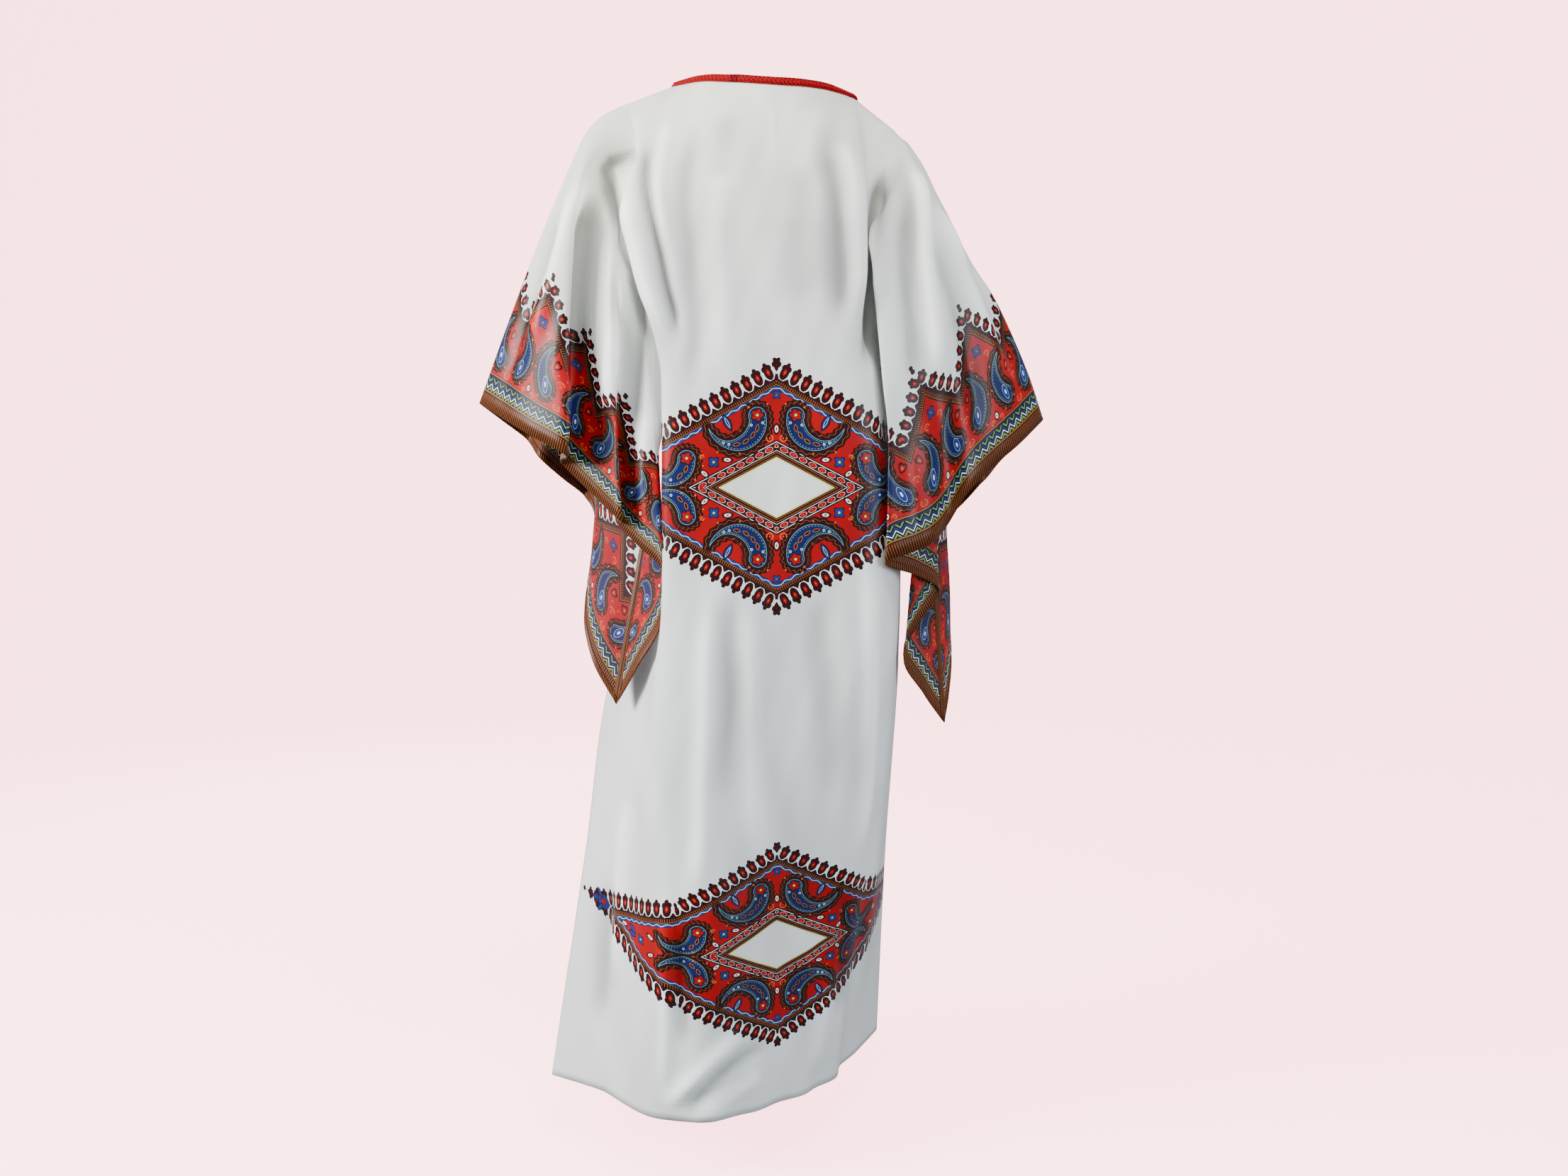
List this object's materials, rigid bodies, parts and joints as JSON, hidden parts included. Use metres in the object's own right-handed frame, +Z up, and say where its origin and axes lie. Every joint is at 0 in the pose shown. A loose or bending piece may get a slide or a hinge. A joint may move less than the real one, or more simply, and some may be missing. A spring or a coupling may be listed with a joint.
{
  "type": "kaftan",
  "caption": "Long printed satin kaftan in its worn, hollow form, with wide pointed sleeves, a braided neck edge and a low side slit.",
  "frame": {"origin": "base of the neck, at the height of the shoulder points of the neck edge, where a wearer or a bust holds the garment up", "axes": "+Z up along the garment's length, -Y the way the wearer faces, +X the wearer's left"},
  "size_m": [0.7832, 0.4718, 1.3785],
  "materials": {
    "cloth": "soft satin, white ground with a red, gold and blue print",
    "braid": "matt plaited cord"
  },
  "bodies": {
    "root": {"back": "cloth", "front": "cloth", "neck_braid": "braid"}
  },
  "joints": []
}
